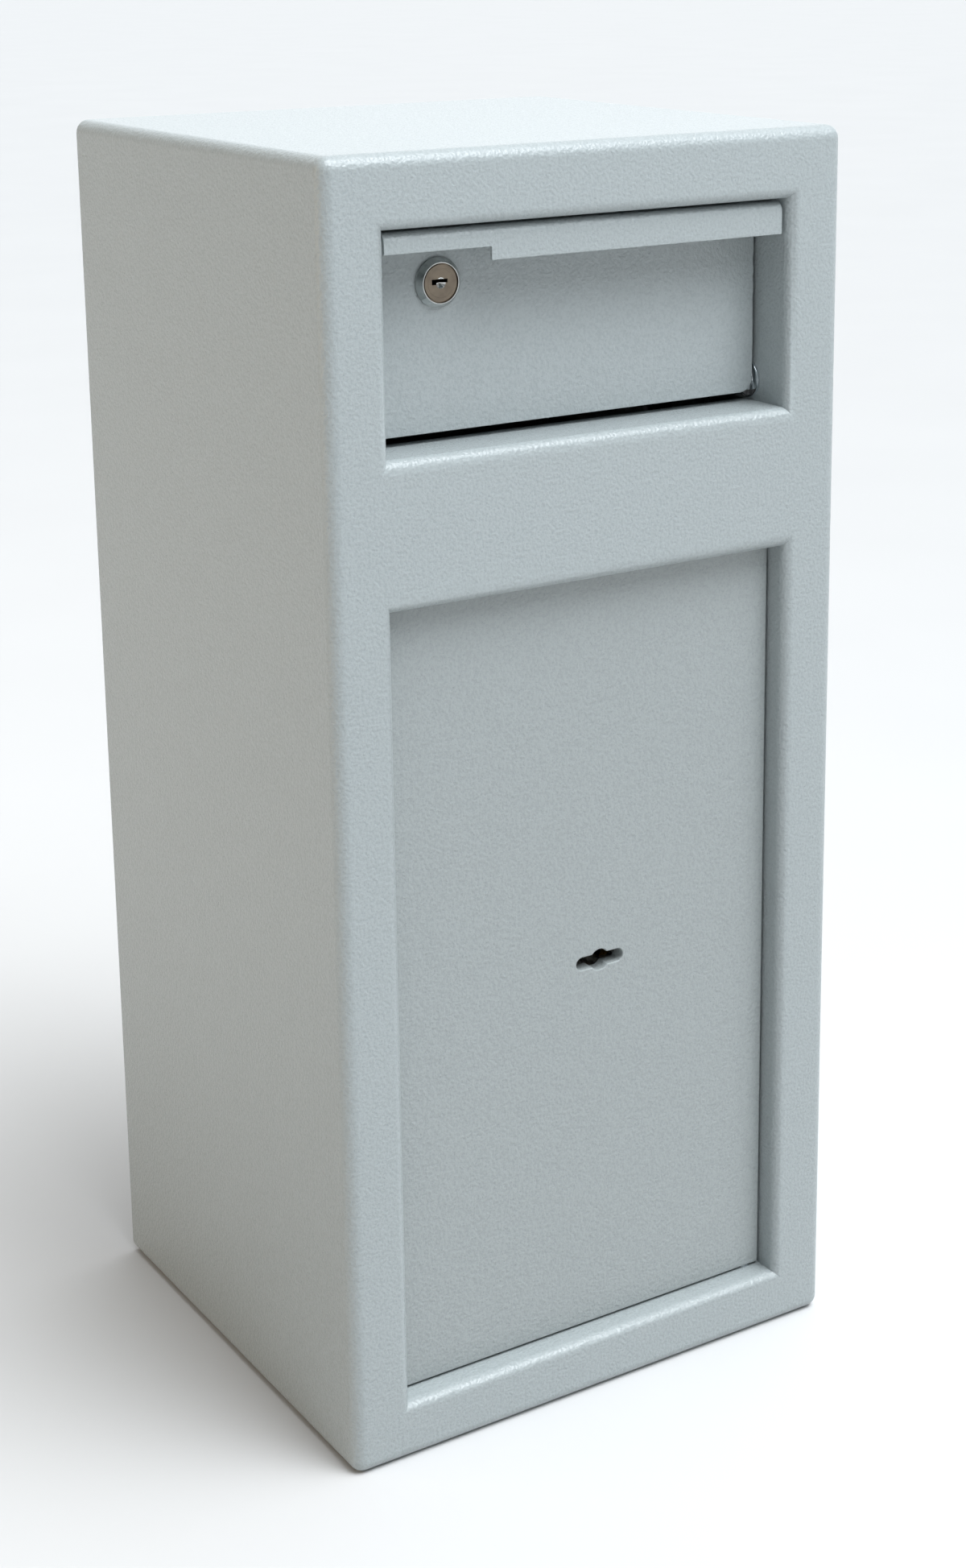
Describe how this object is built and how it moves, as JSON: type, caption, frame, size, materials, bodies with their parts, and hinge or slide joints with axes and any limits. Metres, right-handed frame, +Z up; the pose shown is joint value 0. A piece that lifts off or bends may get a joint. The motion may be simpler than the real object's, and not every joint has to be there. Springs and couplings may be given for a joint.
{
  "type": "book drop box",
  "caption": "Free-standing steel return box with a bottom-hinged hopper flap in its upper opening and a lockable, recessed collection door below.",
  "frame": {"origin": "middle of the cabinet's underside, on the floor", "axes": "+Z up, the front with both openings faces -Y, +X to the right seen from the front"},
  "size_m": [0.3, 0.275, 0.665],
  "materials": {
    "cabinet_paint": "textured powder coat, semi-gloss",
    "door_paint": "textured powder coat, semi-gloss",
    "zinc_plate": "bright zinc plating",
    "bright_steel": "ground steel, lightly oiled",
    "lock_nickel": "satin nickel plate",
    "lock_brass": "sawn and tumbled brass",
    "black_rubber": "matt black rubber"
  },
  "bodies": {
    "cabinet": {"casing_wrap": "cabinet_paint", "front_panel": "cabinet_paint", "back_panel": "cabinet_paint", "base_plate": "cabinet_paint", "hopper_baffle": "cabinet_paint", "cam_keeper": "zinc_plate", "door_stop_frame": "cabinet_paint", "door_hinge_pins": "zinc_plate", "door_thrust_washer": "zinc_plate", "hopper_pivot_pins": "zinc_plate", "hopper_pivot_washers": "zinc_plate", "hopper_pivot_nuts": "zinc_plate", "hopper_rest_pegs": "zinc_plate", "hopper_rest_sleeves": "black_rubber"},
    "hopper": {"hopper_flap": "cabinet_paint", "hopper_left_cheek": "cabinet_paint", "hopper_right_cheek": "cabinet_paint", "hopper_rear_plate": "cabinet_paint", "flap_lock_barrel": "lock_nickel", "flap_lock_nut": "zinc_plate"},
    "flap_cam": {"flap_lock_plug": "lock_nickel", "flap_lock_cam": "zinc_plate", "flap_lock_screw": "zinc_plate"},
    "door": {"door_plate": "door_paint", "hinge_side_dead_bar": "door_paint", "bolt_guides": "door_paint", "bolt_guide_screws": "zinc_plate", "lock_case": "door_paint", "lock_case_cover": "door_paint", "lock_case_screws": "zinc_plate", "lever_pivot": "zinc_plate", "boltwork_cover": "door_paint", "boltwork_cover_screws": "zinc_plate"},
    "boltwork": {"bolt_bar": "zinc_plate", "locking_bolts": "bright_steel", "lock_bolt_tail": "lock_brass"},
    "key_drum": {"key_curtain": "lock_brass"},
    "levers": {"lock_levers": "lock_brass"}
  },
  "joints": [
    {"name": "door_swing", "type": "hinge", "parent": "cabinet", "child": "door", "pos_m": [0.1077, -0.1195, 0.24], "axis": [0, 0, 1], "range_deg": [0, 100]},
    {"name": "hopper_tilt", "type": "hinge", "parent": "cabinet", "child": "hopper", "pos_m": [0, -0.1035, 0.5335], "axis": [1, 0, 0], "range_deg": [0, 50]},
    {"name": "flap_lock_turn", "type": "hinge", "parent": "hopper", "child": "flap_cam", "pos_m": [-0.074, -0.1095, 0.6], "axis": [0, -1, 0], "range_deg": [0, 90]},
    {"name": "bolt_slide", "type": "slide", "parent": "door", "child": "boltwork", "axis": [-1, 0, 0], "range_m": [0, 0.016]},
    {"name": "key_turn", "type": "hinge", "parent": "door", "child": "key_drum", "pos_m": [0.009, -0.11, 0.24], "axis": [0, 1, 0], "range_deg": [0, 180]},
    {"name": "lever_lift", "type": "hinge", "parent": "door", "child": "levers", "pos_m": [0.0515, -0.105, 0.24], "axis": [0, 1, 0], "range_deg": [0, 8], "stiffness_Nm_per_rad": 0.05}
  ],
  "couplings": [
    {"joint": "key_turn", "follows": "bolt_slide", "rad_per_m": 196.3}
  ]
}
